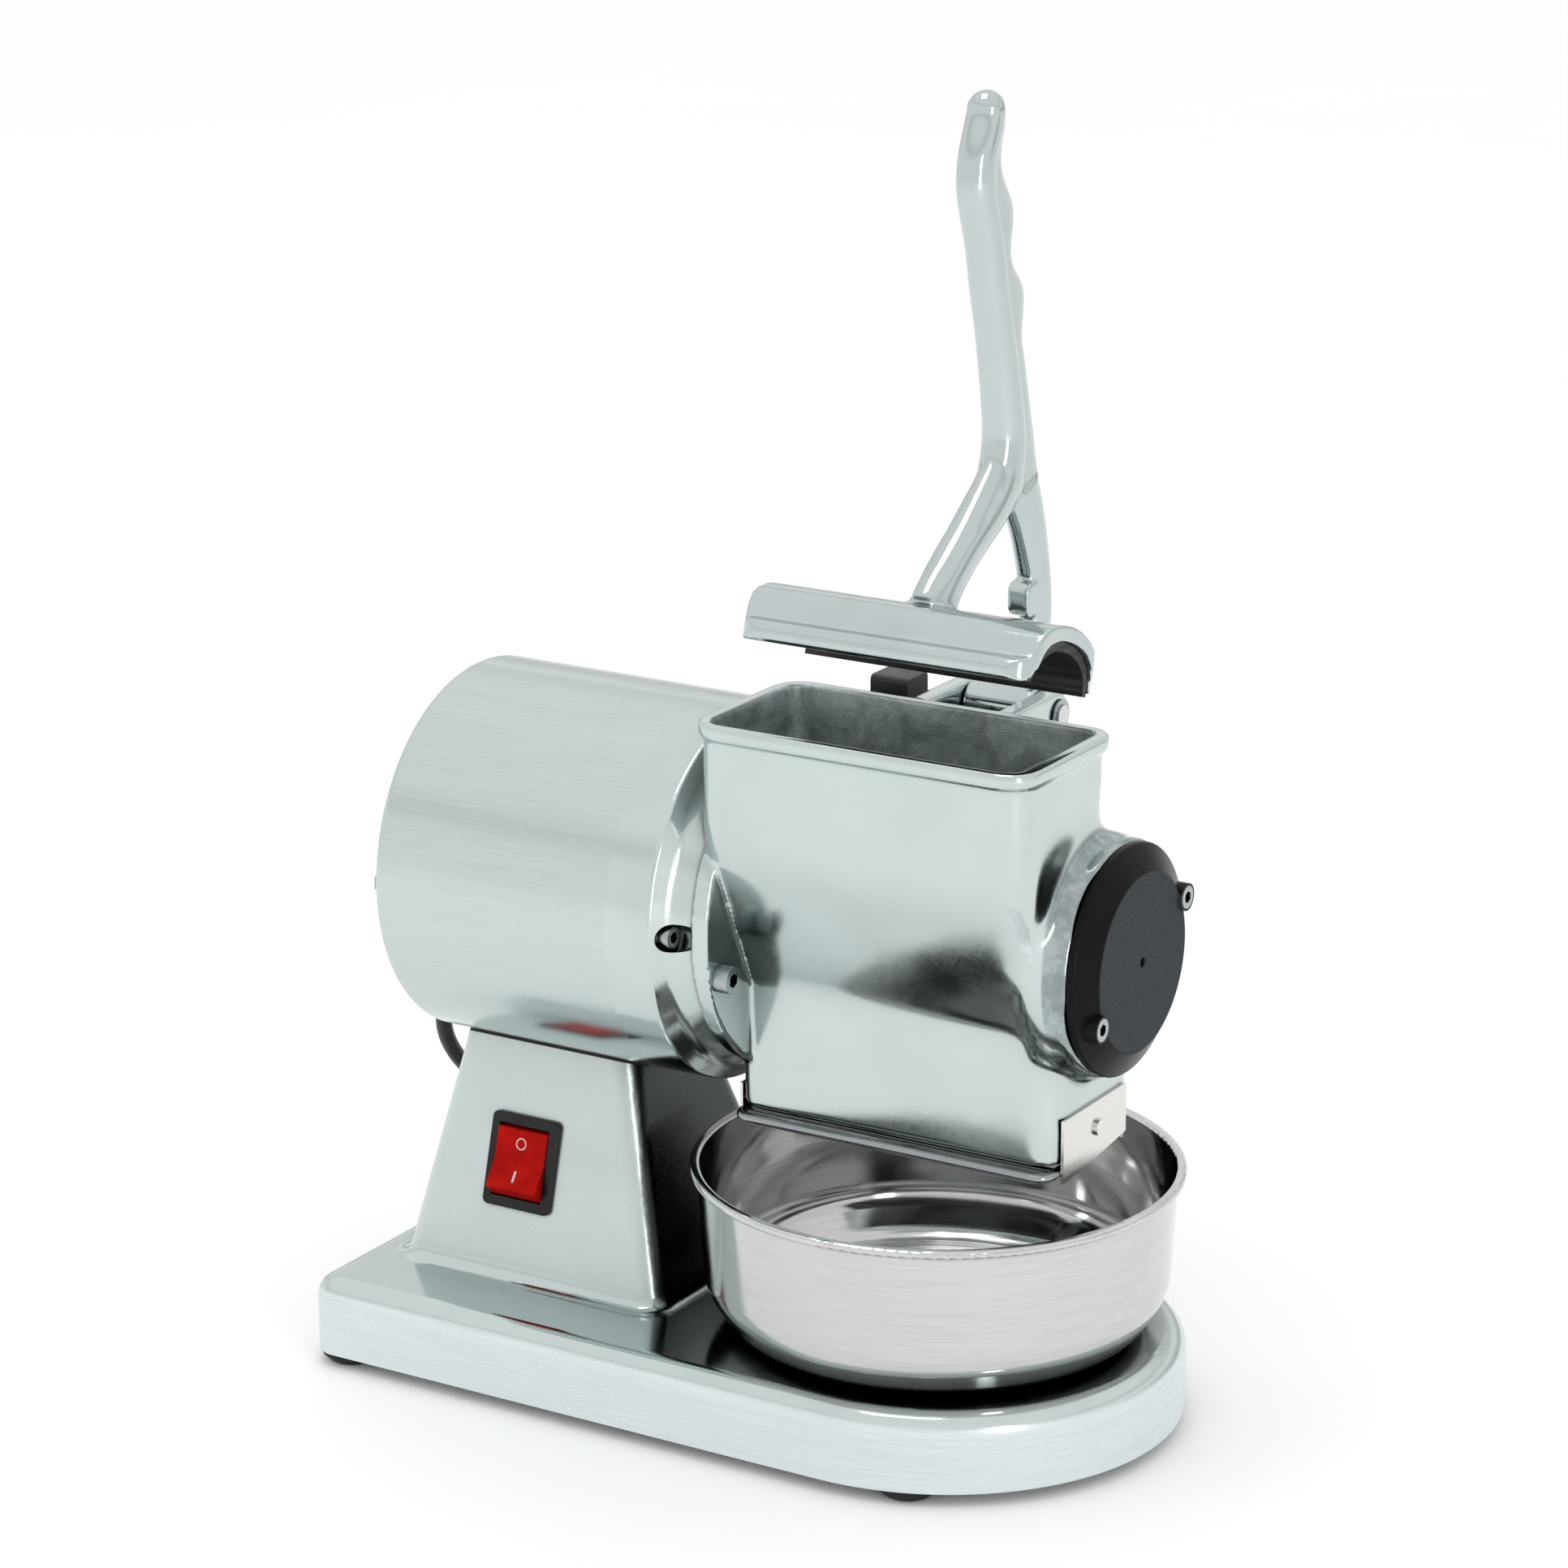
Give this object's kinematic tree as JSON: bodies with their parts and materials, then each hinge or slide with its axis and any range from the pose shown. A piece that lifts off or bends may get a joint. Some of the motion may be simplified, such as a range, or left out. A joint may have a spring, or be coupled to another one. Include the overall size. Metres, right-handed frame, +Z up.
{
  "type": "shaved ice machine",
  "caption": "Motor-driven drum ice shaver: polished cast hopper with a hand press lever, barrel motor on a pedestal base, and a loose steel bowl.",
  "frame": {"origin": "middle of the base's footprint, on the surface the feet stand on", "axes": "+X along the motor axis towards the drum's end cap, +Y to the back, +Z up"},
  "size_m": [0.3251, 0.2947, 0.4958],
  "materials": {
    "base_casting": "polished top, fine brushed sides",
    "plate_steel": "zinc-plated sheet",
    "zinc_fixings": "bright zinc plate",
    "black_rubber": "matt moulded rubber",
    "motor_shell": "satin polished",
    "motor_flange": "polished casting",
    "core_steel": "laminated steel",
    "copper_windings": "varnished copper wire",
    "bearing_steel": "ground steel",
    "shaft_steel": "ground steel",
    "black_plastic": "fine grain",
    "hopper_casting": "polished outside, dull cast inside",
    "drum_steel": "turned stainless steel",
    "blade_steel": "ground stainless steel",
    "end_cap_plastic": "moulded black plastic, turned face",
    "bush_brass": "plain brass",
    "guard_stainless": "bright stainless sheet",
    "guard_wire": "bright wire",
    "lever_casting": "polished casting",
    "pad_rubber": "black, moulded ridges",
    "bowl_stainless": "satin outside, mirror-like inside",
    "switch_black": "moulded plastic",
    "switch_red": "translucent red-orange",
    "capacitor_shell": "moulded plastic",
    "cord_jacket": "smooth black jacket",
    "plug_plastic": "moulded plastic"
  },
  "bodies": {
    "machine": {"base_casting": "base_casting", "bottom_plate": "plate_steel", "bottom_plate_screws": "zinc_fixings", "rubber_feet": "black_rubber", "foot_screws": "zinc_fixings", "barrel_gasket": "black_rubber", "barrel_mount_screws": "zinc_fixings", "motor_shell": "motor_shell", "motor_rear_cover": "black_plastic", "motor_front_flange": "motor_flange", "motor_tie_screws": "zinc_fixings", "stator_core": "core_steel", "stator_windings": "copper_windings", "front_bearing": "bearing_steel", "rear_bearing": "bearing_steel", "hopper_casting": "hopper_casting", "hopper_flange_screws": "zinc_fixings", "shaft_seal": "black_rubber", "end_cap": "end_cap_plastic", "end_cap_screws": "zinc_fixings", "end_cap_bush": "bush_brass", "guard_plates": "guard_stainless", "guard_rivets": "guard_stainless", "guard_wires": "guard_wire", "hinge_pin": "shaft_steel", "hinge_clips": "zinc_fixings", "safety_switch_box": "black_plastic", "switch_housing": "switch_black", "switch_terminals": "bush_brass", "capacitor": "capacitor_shell", "capacitor_strap": "zinc_fixings", "cord_gland": "black_rubber", "power_cord": "cord_jacket", "power_cord_coil": "cord_jacket", "power_plug": "plug_plastic"},
    "rotor": {"motor_shaft": "shaft_steel", "rotor_core": "core_steel", "cooling_fan": "black_plastic", "shaving_drum": "drum_steel", "drum_blades": "blade_steel", "front_bearing_race": "bearing_steel", "rear_bearing_race": "bearing_steel"},
    "lever": {"press_lever": "lever_casting", "presser_pad": "pad_rubber"},
    "rocker": {"switch_rocker": "switch_red"},
    "bowl_body": {"bowl": "bowl_stainless"}
  },
  "joints": [
    {"name": "lever_hinge", "type": "hinge", "parent": "machine", "child": "lever", "pos_m": [0.068, 0.046, 0.2635], "axis": [1, 0, 0], "range_deg": [0, 45]},
    {"name": "drum_spin", "type": "hinge", "parent": "machine", "child": "rotor", "pos_m": [0, 0, 0.191], "axis": [1, 0, 0], "continuous": true},
    {"name": "switch_rock", "type": "hinge", "parent": "machine", "child": "rocker", "pos_m": [-0.093, -0.03976, 0.07861], "axis": [1, 0, 0], "range_deg": [0, 20]},
    {"name": "bowl_slide", "type": "slide", "parent": "machine", "child": "bowl_body", "axis": [0, -1, 0], "range_m": [0, 0.2]}
  ]
}
